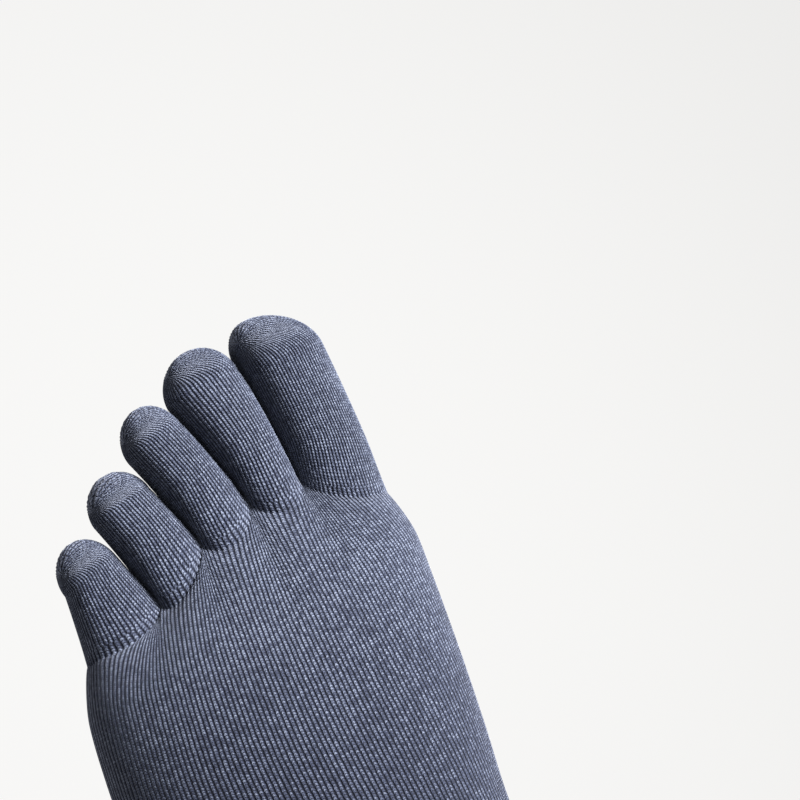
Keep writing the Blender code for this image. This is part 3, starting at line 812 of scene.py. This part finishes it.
def knit_material(name, knit):
    """Stitches drawn from the map whose u counts wales and whose v counts courses, with painted shade in
    their gaps and painted highlight on their tops.
    """
    material = bpy.data.materials.new(name)
    material.use_nodes = True
    nodes = Nodes(material)
    tree = material.node_tree
    where = tree.nodes.new("ShaderNodeUVMap")
    where.uv_map = KNIT_MAP
    split = tree.nodes.new("ShaderNodeSeparateXYZ")
    tree.links.new(where.outputs["UV"], split.inputs[0])
    space = tree.nodes.new("ShaderNodeTexCoord").outputs["Object"]

    wander = nodes.centred(nodes.noise(space, WANDER_SCALE), WANDER)
    u = nodes.math("ADD", split.outputs["X"], nodes.math("MULTIPLY", wander, WANDER_ACROSS))
    v = nodes.math("ADD", split.outputs["Y"], wander)
    off_ridge = nodes.off_middle(u)
    slanted = nodes.math("ADD", v, nodes.math("MULTIPLY", off_ridge, STITCH_SLANT))
    off_stitch = nodes.off_middle(slanted)
    ridge = nodes.span(off_ridge, knit.rib_from, 0.5, 1.0, 0.0)
    stitch = nodes.span(off_stitch, STITCH_FLAT, 0.5, 1.0, 1.0 - knit.course_gap)
    between = nodes.math("SUBTRACT", 1.0, ridge)
    cross = nodes.math("MULTIPLY", nodes.span(off_stitch, *CROSSING_REACH, CROSSING, 0.0), between)
    height = nodes.math("ADD", nodes.math("MULTIPLY", ridge, stitch), cross)

    uneven = nodes.centred(nodes.cell_noise(u, slanted), UNEVEN * knit.grain)
    fibre = nodes.centred(nodes.noise(space, FIBRE_SCALE, FIBRE_DETAIL), FIBRE * knit.grain)
    cloud = nodes.centred(nodes.noise(space, CLOUD_SCALE), CLOUD)
    # Painted shade: the tone darkens from UNSTRETCHED courses behind the toes' roots, fully from STRETCHED
    # on
    painted_stretch_shade = nodes.span(split.outputs["Y"], STRETCHED, UNSTRETCHED, STRETCH_SHADE, 0.0)
    # Painted shading: the stitches' height darkens the tone in their gaps and lightens it on their tops
    tone = nodes.math("ADD", nodes.math("MULTIPLY", height, STITCH_PAINTED_SHADING), nodes.math("ADD", uneven, fibre))
    tone = nodes.math("SUBTRACT", nodes.math("ADD", tone, cloud), painted_stretch_shade)

    shader = tree.nodes["Principled BSDF"]
    tree.links.new(nodes.ramp(tone, YARN_WITH_PAINTED_SHADING), shader.inputs["Base Color"])
    shader.inputs["Roughness"].default_value = 0.92
    shader.inputs["Specular IOR Level"].default_value = 0.15
    shader.inputs["Sheen Weight"].default_value = 0.35
    shader.inputs["Sheen Roughness"].default_value = 0.45
    shader.inputs["Sheen Tint"].default_value = (0.75, 0.8, 1.0, 1)
    bump = tree.nodes.new("ShaderNodeBump")
    bump.inputs["Strength"].default_value = BUMP_STRENGTH
    bump.inputs["Distance"].default_value = BUMP_DISTANCE
    raised = nodes.math("ADD", height, nodes.math("MULTIPLY", fibre, FIBRE_BUMP))
    tree.links.new(raised, bump.inputs["Height"])
    tree.links.new(bump.outputs["Normal"], shader.inputs["Normal"])
    return material


# Pieces


def toe_shares(first, tube_rows, dome_rows):
    """Even rows from here to the start of the dome, and from there to the closure."""
    return np.concatenate((np.linspace(first, 1, tube_rows + 1), 1 + np.linspace(0, 1, dome_rows + 1)[1:]))


def seam_share(toe):
    return TOE_SEAM_AT / mean_reach(toe)


def make_toe(index, material):
    toe = TOES[index]
    seam = seam_share(toe)
    rows = int(TOE_ROW_DENSITY * mean_reach(toe) / TOE_LENGTH) + LEAST_TOE_ROWS
    before = seam - (1 - seam) / rows
    shares = np.concatenate(([before], toe_shares(seam, rows, DOME_ROWS)))
    outside = toe_grid(index, shares, TOE_SAMPLES, {0}, TOE_WALES)
    inside = toe_grid(index, toe_shares(seam, INNER_TOE_ROWS, INNER_DOME_ROWS), 1, set())
    name = toe.name.replace("pocket", "knit")
    knit_piece(name, toe.name, [(outside, True)], [(inside, True)], WALL, material)


def foot_stations(root_rows, body_rows):
    """Close rows where the valleys between the toes fade into the foot, then even ones to the heel."""
    roots = np.linspace(0, 1, root_rows, endpoint=False)
    return np.concatenate((roots, np.linspace(1, HEEL_STATION, body_rows + 1)))


def make_foot(material):
    stations = np.concatenate((foot_stations(ROOT_ROWS, BODY_ROWS), [HEEL_STATION + FOOT_GHOST]))
    outside = [(body_grid(stations, BODY_SAMPLES, {len(stations) - 2}), False)]
    inside = [(body_grid(foot_stations(INNER_ROOT_ROWS, INNER_BODY_ROWS), 1, set()), False)]
    for index, toe in enumerate(TOES):
        seam = seam_share(toe)
        shares = np.concatenate((np.linspace(0, seam, STUB_ROWS + 1), [seam * (1 + 1 / STUB_ROWS)]))
        outside.append((toe_grid(index, shares, BODY_SAMPLES, {len(shares) - 2}), True))
        inside.append((toe_grid(index, np.linspace(0, seam, INNER_STUB_ROWS + 1), 1, set()), True))
    knit_piece("foot_knit", "foot_tube", outside, inside, WALL, material)


def make_tube(tube, material):
    welt = tube.last == TOP_STATION
    stations = np.linspace(tube.first, tube.last, tube.rows)
    step = stations[1] - stations[0]
    stations = np.concatenate(([tube.first - step], stations, [] if welt else [tube.last + step]))
    ghosts = {0} if welt else {0, len(stations) - 2}
    outside = body_grid(stations, BODY_SAMPLES, ghosts, welt)
    inside = body_grid(np.linspace(tube.first, tube.last, tube.inner_rows), 1, set())
    knit_piece(tube.name, tube.node, [(outside, False)], [(inside, False)], tube.wall, material, welt)


toe_material = knit_material("toe_knit", TOE_KNIT)
for toe_index in range(len(TOES)):
    make_toe(toe_index, toe_material)
make_foot(knit_material("foot_knit", FOOT_KNIT))
for tube_row in TUBES:
    make_tube(tube_row, knit_material(tube_row.name, tube_row.knit))

# Camera, floor and light

CAMERA_AT = Vector((-0.09936, 0.13968, 0.21327))
# The columns point to the picture's right, up in the picture and back toward the eye
CAMERA_TURN = Matrix((
    (0.8658, 0.3039, -0.3976),
    (-0.3704, 0.9234, -0.1009),
    (0.3365, 0.2347, 0.9120),
))
RIGHT, UP, BACK = (CAMERA_TURN.col[axis].normalized() for axis in range(3))
FLOOR_BELOW = 0.90  # the sock is held up, so the floor lies below it
FLOOR_SIZE = 60.0
LIT_POINT = Vector((-0.005, 0.12, -0.14))  # between the toes' roots


def make_camera():
    data = bpy.data.cameras.new("camera")
    data.lens = 63
    data.sensor_width = 36
    data.clip_start = 0.01
    camera = bpy.data.objects.new("camera", data)
    bpy.context.scene.collection.objects.link(camera)
    camera.matrix_world = Matrix.Translation(CAMERA_AT) @ CAMERA_TURN.normalized().to_4x4()
    bpy.context.scene.camera = camera


def make_floor():
    lowest = first_bounds[0][2]
    bpy.ops.mesh.primitive_plane_add(size=FLOOR_SIZE, location=(0, 0, lowest - FLOOR_BELOW))
    floor = bpy.context.object
    floor.name = "floor"
    material = bpy.data.materials.new("floor_white")
    material.use_nodes = True
    shader = material.node_tree.nodes["Principled BSDF"]
    shader.inputs["Base Color"].default_value = (0.12, 0.12, 0.12, 1)
    shader.inputs["Roughness"].default_value = 0.9
    shader.inputs["Emission Color"].default_value = (1.0, 0.995, 0.982, 1)
    shader.inputs["Emission Strength"].default_value = 0.785
    floor.data.materials.append(material)


def area_light(name, way, distance, size, watts):
    """A soft box that shines on the toes from this way: right and up in the picture, and toward the eye."""
    direction = (RIGHT * way[0] + UP * way[1] + BACK * way[2]).normalized()
    data = bpy.data.lights.new(name, "AREA")
    data.size = size
    data.energy = watts
    light = bpy.data.objects.new(name, data)
    bpy.context.scene.collection.objects.link(light)
    light.location = LIT_POINT + direction * distance
    light.rotation_euler = direction.to_track_quat("Z", "Y").to_euler()


def make_world():
    world = bpy.data.worlds.new("studio")
    world.use_nodes = True
    background = world.node_tree.nodes["Background"]
    background.inputs["Color"].default_value = (0.97, 0.98, 1.0, 1)
    background.inputs["Strength"].default_value = 0.16
    bpy.context.scene.world = world


make_camera()
make_floor()
area_light("key", (0.95, 0.80, 0.40), 0.72, 0.32, 25)
area_light("top_fill", (0.2, 0.5, 1.0), 1.0, 0.9, 1.6)
make_world()
bpy.context.scene.view_settings.view_transform = "Standard"
